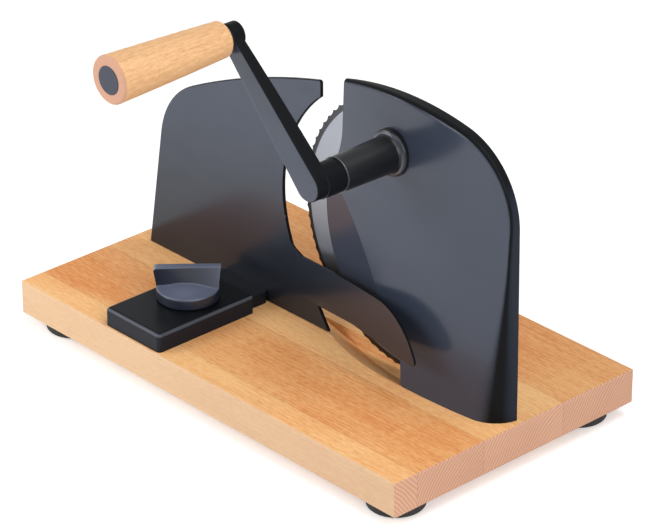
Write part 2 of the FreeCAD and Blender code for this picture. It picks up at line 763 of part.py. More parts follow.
def wooden_grip():
    inner, outer = grip_inner_y, grip_outer_y
    r_in, r_out = grip_inner_rounding, grip_outer_rounding
    middle_y = (inner + outer) / 2
    bore = pin_diameter / 2 + grip_bore_clearance
    x = grip_x
    edge = [V(x + grip_outer_radius, outer + r_out, grip_z), V(x + grip_middle_radius, middle_y, grip_z),
            V(x + grip_inner_radius, inner - r_in, grip_z)]
    share = 1 - math.sqrt(0.5)
    outer_round = arc(V(x + grip_outer_radius - r_out, outer, grip_z),
                      V(x + grip_outer_radius - share * r_out, outer + share * r_out, grip_z), edge[0])
    inner_round = arc(edge[2], V(x + grip_inner_radius - share * r_in, inner - share * r_in, grip_z),
                      V(x + grip_inner_radius - r_in, inner, grip_z))
    corners = [V(x + bore, inner, grip_z), V(x + bore, outer, grip_z)]
    edges = [
        outer_round, arc(*edge), inner_round,
        line(V(x + grip_inner_radius - r_in, inner, grip_z), corners[0]),
        line(corners[0], corners[1]),
        line(corners[1], V(x + grip_outer_radius - r_out, outer, grip_z)),
    ]
    face = Part.Face(Part.Wire(Part.__sortEdges__(edges)))
    grip = face.revolve(V(x, 0, grip_z), V(0, 1, 0), 360)
    return grip.cut(cylinder_y(plug_diameter, outer - 1, pocket_floor_y, x, grip_z))


def grip_end_plug():
    plug = cylinder_y(plug_diameter, grip_outer_y - 0.4, grip_outer_y + plug_length, grip_x, grip_z)
    rim = [e for e in plug.Edges if abs(e.CenterOfMass.y - grip_outer_y + 0.4) < 0.01]
    return plug.makeFillet(0.6, rim)


def grip_washer():
    return ring_y(3 * grip_screw_diameter, grip_screw_diameter + 4 * hole_clearance,
                  pin_end_y - washer_thickness, pin_end_y, grip_x, grip_z)


def grip_screw():
    return cap_screw(grip_screw_diameter, grip_screw_length, V(grip_x, pin_end_y - washer_thickness, grip_z),
                     V(0, 1, 0))


# Stop plate

def tangent_arc(start, direction, end):
    """Arc that leaves the start along the direction and reaches the end, and its direction there."""
    chord = end - start
    normal = V(direction.z, 0, -direction.x)
    radius = chord.dot(chord) / (2 * chord.dot(normal))
    centre = start + normal * radius
    middle = (start + end) * 0.5 - centre
    middle.normalize()
    chord.normalize()
    return arc(start, centre + middle * radius, end), chord * (2 * direction.dot(chord)) - direction


def plate_outline():
    """Edges of the stop plate on its front face. The right edge follows the blade."""
    y, centre = plate_front_y, V(blade_x - plate_edge_shift, plate_front_y, blade_z)
    foot_left, foot_right = V(plate_foot_left_x, y, plate_lift), V(plate_foot_right_x, y, plate_lift)
    side_top = V(plate_foot_left_x + plate_side_lean, y, blade_z - plate_side_drop)
    shoulder = V(plate_foot_left_x + plate_shoulder_run, y, blade_z + plate_shoulder_rise)
    turn_angle = math.asin((plate_edge_turn_z - blade_z) / plate_edge_radius)
    top_angle = math.radians(plate_edge_top_angle)

    def edge_point(angle):
        return centre + V(-plate_edge_radius * math.cos(angle), 0, plate_edge_radius * math.sin(angle))

    tip, turn = edge_point(top_angle), edge_point(turn_angle)
    nose = tip + V(0, 0, plate_nose_height)
    crest = tip + V(-plate_crest_run, 0, plate_crest_rise)
    upwards = side_top - foot_left
    upwards.normalize()
    corner, along = tangent_arc(side_top, upwards, shoulder)
    upper, along = tangent_arc(shoulder, along, crest)
    rounded_nose, along = tangent_arc(crest, along, nose)
    return [
        line(foot_left, side_top), corner, upper, rounded_nose, line(nose, tip),
        arc(tip, edge_point((top_angle + turn_angle) / 2), turn),
        line(turn, foot_right), line(foot_right, foot_left),
    ]


def slice_guide():
    """Thin finger that leaves the plate at an angle and leads the slice past the housing."""
    start_y = plate_front_y - guide_length

    def spot(place):
        return V(guide_root_x + place[0], start_y, place[1])

    lower, upper = [spot(p) for p in guide_lower_edge], [spot(p) for p in guide_upper_edge]
    tip = spot((guide_length, guide_tip_z))
    tip_low = tip + V(-0.15, 0, -0.7) * guide_tip_radius
    heel = spot(guide_heel_top)
    heel_back = heel - V(guide_heel_width, 0, 0)
    chain = [heel_back] + lower
    edges = [line(a, b) for a, b in zip(chain, chain[1:])]
    edges += [arc(lower[-1], tip_low, tip), arc(tip, spot(guide_tip_bulge), upper[0])]
    edges += [line(a, b) for a, b in zip(upper, upper[1:])]
    edges += [arc(upper[-1], spot(guide_heel_bulge), heel), line(heel, heel_back)]
    outline = prism(edges, V(0, 2 * guide_length, 0))
    slope = math.tan(math.radians(guide_angle))
    back = guide_thickness / math.cos(math.radians(guide_angle))
    middle_y = plate_front_y + plate_thickness / 2
    end_x = tip.x + guide_tip_radius
    end_y = plate_front_y - slope * (end_x - guide_root_x)
    meet_x = guide_root_x + (plate_front_y + back - middle_y) / slope
    heel_x = heel_back.x - guide_heel_width
    plan = polygon_prism([
        V(heel_x, middle_y, 0), V(heel_x, plate_front_y, 0), V(guide_root_x, plate_front_y, 0),
        V(end_x, end_y, 0), V(end_x, end_y + back, 0), V(meet_x, middle_y, 0)], V(0, 0, crown_mid_z))
    return outline.common(plan)


def plate_screw_places():
    return [V(adjuster_x + side * plate_screw_spread, plate_back_y, plate_screw_z) for side in (-1, 1)]


def stop_plate():
    plate = prism(plate_outline(), V(0, plate_thickness, 0))
    rim = [e for e in plate.Edges
           if abs(e.CenterOfMass.y - plate_front_y) < 0.01 and e.CenterOfMass.z > plate_lift + 0.01]
    plate = plate.makeFillet(plate_edge_round, rim)
    plate = plate.fuse(slice_guide())
    for spot in plate_screw_places():
        plate = plate.cut(cylinder_y(plate_screw_diameter + 2 * hole_clearance,
                                     plate_front_y - 1, plate_back_y + 1, spot.x, spot.z))
    return plate.removeSplitter()


# Thickness adjuster

def rack_slide():
    """Flat slide with a window, whose left side is a rack."""
    half, tail = slide_width / 2, slide_tail_width / 2
    bottom, end_y = slide_clearance, plate_front_y
    step_y = adjuster_back_y - slide_out - 1.0
    tail_y = adjuster_front_y + 5.0 + slide_out + 0.5
    slide = box(adjuster_x - half, adjuster_x + half, step_y, end_y, bottom, slide_top)
    corners = [e for e in slide.Edges if e.CenterOfMass.y > end_y - 0.01 and e.BoundBox.XLength < 0.01]
    slide = slide.makeFillet(slide_corner_radius, corners)
    slide = slide.fuse(box(adjuster_x - tail, adjuster_x + tail, tail_y, step_y + 1, bottom, slide_top))
    reach = knob_pinion_radius + rack_module + 2 * slide_clearance
    root_x = knob_x - knob_pinion_radius - 1.25 * rack_module
    slide = slide.cut(box(root_x, knob_x + reach, knob_y - reach - slide_in, knob_y + reach + slide_out,
                          0, slide_top + 1))
    pitch = math.pi * rack_module
    slope = math.tan(math.radians(20))
    tip_x = root_x + 1.25 * rack_module + rack_addendum
    half_pitch_width = pitch / 4 - gear_backlash / 4
    middle = knob_y + (slide_out - slide_in) / 2
    first = round((middle - knob_y) / pitch) - rack_teeth // 2
    for i in range(rack_teeth):
        y = knob_y + (first + i + 0.5) * pitch
        root_half = half_pitch_width + slope * 1.25 * rack_module
        tip_half = half_pitch_width - slope * rack_addendum
        tooth = polygon_prism([
            V(root_x - 0.5, y - root_half, bottom), V(root_x, y - root_half, bottom),
            V(tip_x, y - tip_half, bottom), V(tip_x, y + tip_half, bottom),
            V(root_x, y + root_half, bottom), V(root_x - 0.5, y + root_half, bottom)],
            V(0, 0, slide_top - bottom))
        slide = slide.fuse(tooth)
    for spot in plate_screw_places():
        slide = slide.cut(cylinder_y(plate_screw_diameter, plate_back_y - plate_screw_length - screw_end_gap,
                                     end_y + 1, spot.x, spot.z))
    return slide.removeSplitter()


def plate_screws():
    return group([cap_screw(plate_screw_diameter, plate_screw_length, spot, V(0, -1, 0))
                  for spot in plate_screw_places()])


def adjuster_housing():
    half = adjuster_width / 2
    block = box(adjuster_x - half, adjuster_x + half, adjuster_front_y, adjuster_back_y, 0, adjuster_height)
    rounded = [e for e in block.Edges if e.CenterOfMass.z > 0.1 and e.CenterOfMass.y < adjuster_back_y - 0.1]
    block = block.makeFillet(adjuster_edge_radius, rounded)
    gap = slide_clearance
    wide, narrow = slide_width / 2 + gap, slide_tail_width / 2 + gap
    step_y = adjuster_back_y - 2 * slide_out - 1.5
    block = block.cut(box(adjuster_x - wide, adjuster_x + wide, step_y, adjuster_back_y + 1, -1, channel_top))
    block = block.cut(box(adjuster_x - narrow, adjuster_x + narrow,
                          adjuster_front_y + 5.0 - gap, step_y + 1, -1, channel_top))
    block = block.cut(cylinder_z(spindle_diameter + 2 * running_clearance, 0, adjuster_height + 1,
                                 knob_x, knob_y))
    for x, y in adjuster_screw_places():
        block = block.cut(cylinder_z(adjuster_screw_diameter + 2 * hole_clearance, -1,
                                     adjuster_height - wall, x, y))
    return block


def adjuster_screws():
    seat_z = screw_seat_depth - board_thickness
    length = adjuster_height - wall - screw_end_gap - seat_z
    return group([cap_screw(adjuster_screw_diameter, length, V(x, y, seat_z), V(0, 0, 1))
                  for x, y in adjuster_screw_places()])


def knob_square(z0, z1, grow):
    half = drive_square / 2 + grow
    square = box(knob_x - half, knob_x + half, knob_y - half, knob_y + half, z0, z1)
    square.rotate(V(knob_x, knob_y, 0), V(0, 0, 1), knob_grip_angle)
    return square


def knob_pinion():
    """Pinion with a spindle through the adjuster housing and a square that drives the knob."""
    shoulder_top = channel_top - axial_clearance
    pinion_top = shoulder_top - knob_shoulder
    gear = gear_blank(knob_pinion_teeth, rack_module, pinion_top - knob_pinion_bottom, 180.0)
    gear.translate(V(knob_x, knob_y, knob_pinion_bottom))
    gear = gear.fuse(cylinder_z(1.3 * spindle_diameter, pinion_top - 1, shoulder_top, knob_x, knob_y))
    gear = gear.fuse(cylinder_z(spindle_diameter, pinion_top - 1, adjuster_height, knob_x, knob_y))
    gear = gear.fuse(knob_square(adjuster_height - 1, knob_bottom + knob_square_depth, 0))
    gear = gear.cut(cylinder_z(knob_screw_diameter + 2 * hole_clearance, 0, knob_bottom + knob_square_depth + 1,
                               knob_x, knob_y))
    gear = gear.cut(cylinder_z(2.1 * knob_screw_diameter, 0, knob_screw_seat, knob_x, knob_y))
    return gear.removeSplitter()


def knob_screw():
    length = knob_bottom + knob_screw_reach - screw_end_gap - knob_screw_seat
    return cap_screw(knob_screw_diameter, length, V(knob_x, knob_y, knob_screw_seat), V(0, 0, 1))


def knob_washer():
    ring = cylinder_z(1.6 * spindle_diameter, adjuster_height, knob_bottom - axial_clearance, knob_x, knob_y)
    return ring.cut(cylinder_z(spindle_diameter + 2 * slide_clearance, 0, knob_bottom, knob_x, knob_y))


def knob_disc():
    """Round disc whose face rises in a gentle dome from a level rim."""
    radius, edge = knob_diameter / 2, knob_edge
    rim_top = knob_bottom + knob_rim_height
    dome_top = rim_top + knob_dome_height
    run, rise = (radius - edge) / 2, knob_dome_height / 2
    bend = (run ** 2 + rise ** 2) / (2 * rise)
    half_turn = math.asin(run / bend) / 2
    along, up = bend * math.sin(half_turn), bend * (1 - math.cos(half_turn))

    def spot(r, z):
        return V(knob_x + r, knob_y, z)

    corners = [spot(0, dome_top), spot(0, knob_bottom), spot(radius - edge, knob_bottom),
               spot(radius, knob_bottom + edge), spot(radius, rim_top - edge), spot(radius - edge, rim_top)]
    edges = [line(start, end) for start, end in zip(corners, corners[1:])]
    edges.append(arc(corners[-1], spot(radius - edge - along, rim_top + up), spot(run, rim_top + rise)))
    edges.append(arc(spot(run, rim_top + rise), spot(along, dome_top - up), corners[0]))
    face = Part.Face(Part.Wire(Part.__sortEdges__(edges)))
    return face.revolve(V(knob_x, knob_y, 0), V(0, 0, 1), 360)


def thickness_knob():
    """Round knob with a domed face and an upright finger grip across its diameter."""
    radius = knob_diameter / 2
    rim_top = knob_bottom + knob_rim_height
    grip_top = knob_bottom + knob_grip_height
    disc = knob_disc()
    half_foot = radius - knob_edge / 2
    foot_z = knob_bottom + knob_rim_height / 3
    half_top = knob_grip_length / 2
    back, front = knob_grip_lead - knob_grip_thickness, knob_grip_lead
    grip = polygon_prism([
        V(-half_foot, back, foot_z), V(half_foot, back, foot_z),
        V(half_top, back, grip_top), V(-half_top, back, grip_top)], V(0, front - back, 0))
    upper = [e for e in grip.Edges if e.CenterOfMass.z > rim_top]
    grip = grip.makeFillet(2 * knob_edge, upper)
    # Behind the grip the knob slopes down to its rim.
    wedge = polygon_prism([
        V(-half_foot, back + 1.0, foot_z), V(-half_foot, back + 1.0, grip_top - knob_back_drop),
        V(-half_foot, -radius, rim_top), V(-half_foot, -radius, foot_z)], V(2 * half_foot, 0, 0))
    wedge = wedge.common(Part.makeCylinder(radius, 2 * grip_top, V(0, 0, 0)))
    raised = grip.fuse(wedge)
    raised.rotate(V(0, 0, 0), V(0, 0, 1), knob_grip_angle + 180.0)
    raised.translate(V(knob_x, knob_y, 0))
    knob = disc.fuse(raised)
    socket_top = knob_bottom + knob_square_depth + axial_clearance
    knob = knob.cut(knob_square(knob_bottom - 1, socket_top, hole_clearance))
    knob = knob.cut(cylinder_z(knob_screw_diameter, knob_bottom, knob_bottom + knob_screw_reach, knob_x, knob_y))
    return knob.removeSplitter()


pieces = [
    base_board, rubber_feet, foot_screws, blade_housing, housing_screws, bearing_sleeve, front_bush, rear_bush,
    circular_blade, blade_gear, blade_bush, blade_screws, blade_axle, blade_washer, blade_retaining_screw,
    crank_shaft, crank_pinion, crank_washer, crank_arm, hub_set_screw, handle_pin, grip_spacer, wooden_grip,
    grip_end_plug, grip_washer, grip_screw, stop_plate, rack_slide, plate_screws, adjuster_housing,
    adjuster_screws, knob_pinion, knob_screw, knob_washer, thickness_knob,
]

os.makedirs("parts", exist_ok=True)
for piece in pieces:
    shape = piece()
    shape.translate(V(0, 0, top))
    shape.exportStep("parts/" + piece.__name__ + ".step")
    print(piece.__name__, len(shape.Solids), round(shape.Volume / 1000, 2), "cm3", shape.isValid())
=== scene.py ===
import bmesh
import bpy
import json
import math
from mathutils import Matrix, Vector


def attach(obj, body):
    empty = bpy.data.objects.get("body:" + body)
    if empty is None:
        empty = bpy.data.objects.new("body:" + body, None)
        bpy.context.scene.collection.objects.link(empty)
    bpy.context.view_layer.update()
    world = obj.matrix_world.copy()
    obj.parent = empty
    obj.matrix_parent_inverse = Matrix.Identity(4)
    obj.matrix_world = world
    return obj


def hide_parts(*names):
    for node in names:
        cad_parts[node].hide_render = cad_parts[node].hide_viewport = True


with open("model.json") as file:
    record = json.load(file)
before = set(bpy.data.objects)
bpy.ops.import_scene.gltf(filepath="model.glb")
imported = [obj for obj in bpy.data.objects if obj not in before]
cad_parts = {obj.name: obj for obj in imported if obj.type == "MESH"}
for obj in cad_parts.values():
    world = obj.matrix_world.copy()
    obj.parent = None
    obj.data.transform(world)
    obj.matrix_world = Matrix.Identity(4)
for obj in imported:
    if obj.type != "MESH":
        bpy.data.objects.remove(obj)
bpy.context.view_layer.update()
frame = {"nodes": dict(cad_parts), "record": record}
nodes = frame["nodes"]
print("frame loaded:", len(nodes), "nodes")

coordinates = {"normal": 1, "object": 3}  # outputs of the coordinate node
colourMix = {"share": 0, "first": 6, "second": 7, "result": 2}  # sockets of the mix node
noiseMiddle = 0.5


class Wire:  # a socket that takes plain arithmetic
    def __init__(self, tree, socket=None):
        self.tree, self.socket = tree, socket

    def add(self, kind, settings=None, sockets=None, out=0):
        node = self.tree.nodes.new("ShaderNode" + kind)
        for name, value in (settings or {}).items():
            setattr(node, name, value)
        for key, value in (sockets or {}).items():
            if isinstance(value, Wire):
                self.tree.links.new(value.socket, node.inputs[key])
            else:
                node.inputs[key].default_value = value
        return Wire(self.tree, node.outputs[out] if node.outputs else None)

    def maths(self, operation, *values):
        return self.add("Math", {"operation": operation}, dict(enumerate(values)))

    def __add__(self, other):
        return self.maths("ADD", self, other)

    def __sub__(self, other):
        return self.maths("SUBTRACT", self, other)

    def __rsub__(self, other):
        return self.maths("SUBTRACT", other, self)

    def __mul__(self, other):
        return self.maths("MULTIPLY", self, other)

    def __truediv__(self, other):
        return self.maths("DIVIDE", self, other)

    __radd__ = __add__

    def above(self, limit):
        return self.maths("GREATER_THAN", self, limit)

    def size(self):
        return self.maths("ABSOLUTE", self)

    def reach(self, other):  # distance from the point where both are 0
        return self.maths("SQRT", self * self + other * other)

    def clip(self):
        return self.add("Clamp", None, {"Value": self})

    def span(self, low, high):  # 0 below low, 1 above high, smooth between
        return self.add("MapRange", {"interpolation_type": "SMOOTHSTEP"},
                        {"Value": self, "From Min": low, "From Max": high})

    def paint(self, first, second):  # colours mixed by this value
        sockets = {colourMix["share"]: self, colourMix["first"]: first, colourMix["second"]: second}
        return self.add("Mix", {"data_type": "RGBA"}, sockets, colourMix["result"])

    def parts(self):
        split = self.add("SeparateXYZ", None, {"Vector": self})
        return [Wire(self.tree, s) for s in split.socket.node.outputs]

    def noise(self, scale, detail=3.0, roughness=0.5):
        return self.add("TexNoise", None, {"Vector": self, "Scale": scale, "Detail": detail,
                                           "Roughness": roughness})

    def grain(self, stretch, detail, roughness=0.5):  # noise with a scale along each of x, y and z
        return self.add("Mapping", None, {"Vector": self, "Scale": stretch}).noise(1.0, detail, roughness)

    def bump(self, distance, strength):
        return self.add("Bump", None, {"Height": self, "Distance": distance, "Strength": strength})


def rgb(red, green, blue):
    return (red, green, blue, 1.0)


def coordinate(start, kind):
    return start.add("TexCoord", None, None, coordinates[kind])


def newMaterial(name):
    material = bpy.data.materials.new(name)
    material.use_nodes = True
    material.node_tree.nodes.clear()
    start = Wire(material.node_tree)
    return material, start, coordinate(start, "object")


def surface(start, **sockets):
    shader = start.add("BsdfPrincipled", None, {k.replace("_", " "): v for k, v in sockets.items()})
    start.add("OutputMaterial", None, {"Surface": shader})


def growthRings(distance, w):  # slow rise and quick fall, as in late wood
    phase = distance.maths("FRACT", distance / w["ringWidth"])
    return phase.span(*w["ringRise"]) * (1 - phase.span(*w["ringFall"]))


boardWood = {
    "halfLength": 0.180,
    "halfWidth": 0.105,
    "edgeBand": (0.0012, 0.0004),  # depths under an end or a side where the end grain's colour, and on the sides the painted lighter tone, starts and is full
    "glueLines": (-0.0864, -0.0295, 0.0410),  # y of each joint between staves
    "glueBand": (0.00015, 0.00045),
    "pithY": (-0.150, 0.020, 0.090, 0.160),  # centre of the rings in each stave
    "pithZ": (-0.030, -0.045, -0.050, -0.040),
    "tones": (0.10, 0.50, 0.16, 0.56),  # darkness of each stave
    "ringWidth": 0.0024,
    "ringSway": 0.008,
    "ringRise": (0.0, 0.75),
    "ringFall": (0.82, 1.0),
    "sway": ((6, 30, 30), 2.0),  # stretch, detail and roughness of each grain
    "streak": ((14, 420, 420), 4.0, 0.6),
    "fleck": ((260, 2300, 2300), 2.0),
    "fleckSpan": (0.62, 0.72),
    "patch": ((9, 22, 22), 2.0),
    "fibre": ((150, 1000, 1000), 3.0, 0.6),
    "fibreSpan": (0.38, 0.66),
    "pore": ((1500, 2600, 2600), 2.0),
    "poreSpan": (0.45, 0.75),
    "longShares": {"tone": 0.85, "ring": 0.12, "streak": 0.75, "patch": 1.30, "fibre": 0.42, "less": 1.12},
    "endShares": {"ring": 0.50, "tone": 0.15, "pore": 0.25, "patch": 0.30, "less": 0.08},
    "light": rgb(0.880, 0.520, 0.230),
    "dark": rgb(0.660, 0.240, 0.070),
    "fleckColour": rgb(0.400, 0.180, 0.070),
    "fleckShare": 0.35,
    "paintedLightSideColour": rgb(0.600, 0.460, 0.330),  # painted light: the long sides painted a paler, lighter tone
    "paintedLightSideShare": 0.60,
    "endLight": rgb(0.740, 0.440, 0.290),
    "endDark": rgb(0.440, 0.210, 0.140),
    "glueColour": rgb(0.330, 0.160, 0.075),
    "glueShare": 0.28,
    "roughness": {"base": 0.46, "streak": 0.16, "end": 0.14},
    "relief": {"streak": 0.6, "fleck": 0.8, "fibre": 0.4, "ring": 0.5, "seam": 0.6},
    "bump": (0.00012, 0.55),  # distance and strength
    "gloss": 0.22,
}


def stavePick(y, values):  # value of the stave that y lies in
    picked = values[0]
    for line, before, after in zip(boardWood["glueLines"], values, values[1:]):
        picked = y.above(line) * (after - before) + picked
    return picked


def edgeMask(along, half, band):  # 1 at both ends of a length
    return along.size().span(half - band[0], half - band[1])


def makeBoardWood():
    w = boardWood
    material, start, here = newMaterial("oiledBeechBoard")
    x, y, z = here.parts()
    ringY = y - stavePick(y, w["pithY"])
    ringZ = z - stavePick(y, w["pithZ"])
    tone = stavePick(y, w["tones"])
    sway = here.grain(*w["sway"]) - noiseMiddle
    ring = growthRings(ringY.reach(ringZ) + sway * w["ringSway"], w)
    streak = here.grain(*w["streak"])
    fleck = here.grain(*w["fleck"]).span(*w["fleckSpan"])
    patch = here.grain(*w["patch"])
    fibre = here.grain(*w["fibre"]).span(*w["fibreSpan"])
    s = w["longShares"]
    darkness = (tone * s["tone"] + ring * s["ring"] + streak * s["streak"] + patch * s["patch"]
                + fibre * s["fibre"] - s["less"]).clip()
    long = darkness.paint(w["light"], w["dark"])
    long = (fleck * w["fleckShare"]).paint(long, w["fleckColour"])
    endMask = edgeMask(x, w["halfLength"], w["edgeBand"])
    pore = here.grain(*w["pore"]).span(*w["poreSpan"])
    s = w["endShares"]
    endTone = (ring * s["ring"] + tone * s["tone"] + pore * s["pore"] + patch * s["patch"] - s["less"]).clip()
    ends = endTone.paint(w["endLight"], w["endDark"])
    sideMask = edgeMask(y, w["halfWidth"], w["edgeBand"])
    # painted light: both long sides mixed towards a paler, lighter tone
    long = (sideMask * w["paintedLightSideShare"]).paint(long, w["paintedLightSideColour"])
    seam = 0.0
    for line in w["glueLines"]:
        seam = (1 - (y - line).size().span(*w["glueBand"])) + seam
    colour = endMask.paint(long, ends)
    colour = (seam * w["glueShare"]).clip().paint(colour, w["glueColour"])
    s, r = w["relief"], w["roughness"]
    height = (streak * s["streak"] - fleck * s["fleck"] - fibre * s["fibre"] + ring * endMask * s["ring"]
              - seam * s["seam"])
    surface(start, Base_Color=colour, Roughness=(r["base"] + streak * r["streak"] + endMask * r["end"]).clip(),
            Normal=height.bump(*w["bump"]), Specular_IOR_Level=w["gloss"])
    return material


gripWood = {
    "pith": (0.0332, 0.2490),  # x, z of the rings' centre, beside the grip's axis
    "endPlane": -0.1722,  # y where the end grain starts
    "endBand": 0.0003,
    "ringWidth": 0.0026,
    "ringSway": 0.006,
    "ringRise": (0.0, 0.7),
    "ringFall": (0.8, 1.0),
    "sway": ((40, 9, 40), 2.0),  # stretch, detail and roughness of each grain
    "streak": ((520, 20, 520), 4.0, 0.6),
    "fleck": ((2300, 300, 2300), 2.0),
    "fleckSpan": (0.60, 0.70),
    "fibre": ((1100, 170, 1100), 3.0, 0.6),
    "fibreSpan": (0.36, 0.66),
    "patch": ((60, 18, 60), 2.0),
    "shares": {"ring": 0.10, "streak": 0.55, "fibre": 0.30, "patch": 0.50, "less": 0.45},
    "light": rgb(0.820, 0.500, 0.255),
    "dark": rgb(0.500, 0.225, 0.090),
    "endColour": rgb(0.540, 0.290, 0.205),
    "endShare": 0.85,
    "fleckColour": rgb(0.48, 0.24, 0.10),
    "fleckShare": 0.40,
    "roughness": {"base": 0.42, "streak": 0.18},
    "relief": {"streak": 0.6, "fleck": 0.8, "fibre": 0.4},
    "bump": (0.0001, 0.5),
    "gloss": 0.25,
}


def makeGripWood():
    w = gripWood
    material, start, here = newMaterial("turnedBeechGrip")
    x, y, z = here.parts()
    across, up = x - w["pith"][0], z - w["pith"][1]
    sway = here.grain(*w["sway"]) - noiseMiddle
    ring = growthRings(across.reach(up) + sway * w["ringSway"], w)
    streak = here.grain(*w["streak"])
    fleck = here.grain(*w["fleck"]).span(*w["fleckSpan"])
    fibre = here.grain(*w["fibre"]).span(*w["fibreSpan"])
    patch = here.grain(*w["patch"])
    s = w["shares"]
    darkness = (ring * s["ring"] + streak * s["streak"] + fibre * s["fibre"] + patch * s["patch"]
                - s["less"]).clip()
    colour = darkness.paint(w["light"], w["dark"])
    endMask = 1 - y.span(w["endPlane"] - w["endBand"], w["endPlane"] + w["endBand"])
    colour = (endMask * w["endShare"]).paint(colour, w["endColour"])
    colour = (fleck * w["fleckShare"]).paint(colour, w["fleckColour"])
    s, r = w["relief"], w["roughness"]
    height = streak * s["streak"] - fleck * s["fleck"] - fibre * s["fibre"]
    surface(start, Base_Color=colour, Roughness=(r["base"] + streak * r["streak"]).clip(),
            Normal=height.bump(*w["bump"]), Specular_IOR_Level=w["gloss"])
    return material


lacquer = {
    "edge": rgb(0.0065, 0.0070, 0.0085),
    "paintedSheenColour": rgb(0.041, 0.052, 0.080),  # painted sheen: a lighter blue-grey painted on the broad faces, standing in for their reflection
    "paintedSheenHeight": (0.030, 0.170),  # where the painted sheen starts to show and where it is at its fullest; lower down a painted shade darkens the faces
    "paintedSheenFootShare": 0.18,  # the painted sheen's usual share below that
    "broad": (0.78, 0.97),  # how squarely a face looks to the front or the back
    "right": (0.80, 0.97),  # and to the right
    "cloud": (24.0, 3.0),
    "peel": (1400.0, 2.0),
    "speck": (5200.0, 1.0),
    "speckSpan": (0.70, 0.80),
    "rub": ((30, 30, 90), 4.0, 0.65),
    "rubSpan": (0.45, 0.80),
    "shares": {"cloud": 0.16, "base": 0.90, "speck": 0.03},
    "roughness": {"base": 0.30, "rub": 0.07, "cloud": 0.04},
    "relief": {"peel": 0.8, "speck": 0.1},
    "bump": (0.00002, 0.30),
    "polish": {"base": 0.62, "rub": 0.10},  # share of the clear coat on the broad faces
    "polishRoughness": 0.19,
}


def makeLacquer(name, gloss, paintedSheenFootShare=lacquer["paintedSheenFootShare"], paintedSheenRightShare=0.0):
    w = lacquer
    material, start, here = newMaterial(name)
    across, facing = coordinate(start, "normal").parts()[:2]
    z = here.parts()[2]
    cloud = here.noise(*w["cloud"])
    peel = here.noise(*w["peel"])
    speck = here.noise(*w["speck"]).span(*w["speckSpan"])
    rub = here.grain(*w["rub"]).span(*w["rubSpan"])
    broad = facing.size().span(*w["broad"])
    # painted sheen and painted shade: broad faces lighter, fading darker towards the foot, and faces to the
    # right lighter
    paintedSheenMask = broad * (z.span(*w["paintedSheenHeight"]) * (1 - paintedSheenFootShare) + paintedSheenFootShare)
    paintedSheenMask = paintedSheenMask + across.span(*w["right"]) * paintedSheenRightShare
    s, r, p, h = w["shares"], w["roughness"], w["polish"], w["relief"]
    # the lacquer's black with the painted sheen mixed in
    colour = (paintedSheenMask * (cloud * s["cloud"] + s["base"]) + speck * s["speck"]).clip().paint(w["edge"], w["paintedSheenColour"])
    surface(start, Base_Color=colour, Roughness=(r["base"] + rub * r["rub"] + cloud * r["cloud"]).clip(),
            Normal=(peel * h["peel"] + speck * h["speck"]).bump(*w["bump"]), Specular_IOR_Level=gloss,
            Coat_Weight=broad * (p["base"] - rub * p["rub"]), Coat_Roughness=w["polishRoughness"])
    return material


bladeSteel = {
    "centre": (0.0760, 0.1234),  # x, z of the blade's axis
    "bevel": (0.0900, 0.0904),  # radii between which the ground bevel starts
    "turning": {"out": 5200.0, "around": 3.0, "look": (1.0, 3.0, 0.6)},
    "grinding": {"out": 160.0, "around": 420.0, "look": (1.0, 2.0, 0.6)},
    "smear": (60.0, 3.0),
    "faceShares": {"mark": 0.6, "smear": 0.3},
    "faceLight": rgb(0.350, 0.370, 0.410),
    "faceDark": rgb(0.250, 0.265, 0.300),
    "rimShares": {"mark": 0.8, "smear": 0.2},
    # painted reflection: the ground bevel is painted near black, standing in for the dark it mirrors
    "rimLight": rgb(0.110, 0.112, 0.120),
    "rimDark": rgb(0.022, 0.023, 0.027),
    "roughness": {"base": 0.32, "mark": 0.14},
    "bump": (0.00002, 0.5),
}


def makeBladeSteel():
    w = bladeSteel
    material, start, here = newMaterial("groundBladeSteel")
    x, z = here.parts()[::2]
    across, up = x - w["centre"][0], z - w["centre"][1]
    radius = across.reach(up)
    angle = start.maths("ARCTAN2", up, across)
    t, g = w["turning"], w["grinding"]
    rings = start.add("CombineXYZ", None, {"X": radius * t["out"], "Y": angle * t["around"]})
    turning = rings.noise(*t["look"])
    spokes = start.add("CombineXYZ", None, {"X": angle * g["around"], "Y": radius * g["out"]})
    grinding = spokes.noise(*g["look"])
    bevel = radius.span(*w["bevel"])
    mark = bevel * (grinding - turning) + turning
    smear = here.noise(*w["smear"])
    f, e, r = w["faceShares"], w["rimShares"], w["roughness"]
    face = (mark * f["mark"] + smear * f["smear"]).clip().paint(w["faceLight"], w["faceDark"])
    rim = (mark * e["mark"] + smear * e["smear"]).clip().paint(w["rimLight"], w["rimDark"])
    # the bevel gets the painted dark reflection colours
    surface(start, Base_Color=bevel.paint(face, rim), Metallic=1.0,
            Roughness=(r["base"] + mark * r["mark"]).clip(), Normal=mark.bump(*w["bump"]))
    return material


metal = {
    "fine": (4.0, 0.6),  # detail and roughness
    "stainSize": 12,  # times the fine grain
    "stainDetail": 3.0,
    "stainSpan": (0.45, 0.75),
    "shares": {"fine": 0.5, "stain": 0.5},
    "roughness": {"fine": 0.14, "stain": 0.08},
    "bump": (0.00003, 0.4),
}


def makeMetal(name, light, dark, roughness, scale):
    w = metal
    material, start, here = newMaterial(name)
    fine = here.noise(scale, *w["fine"])
    stain = here.noise(scale / w["stainSize"], w["stainDetail"]).span(*w["stainSpan"])
    s, r = w["shares"], w["roughness"]
    colour = (fine * s["fine"] + stain * s["stain"]).clip().paint(light, dark)
    surface(start, Base_Color=colour, Metallic=1.0,
            Roughness=(roughness + fine * r["fine"] + stain * r["stain"]).clip(), Normal=fine.bump(*w["bump"]))
    return material


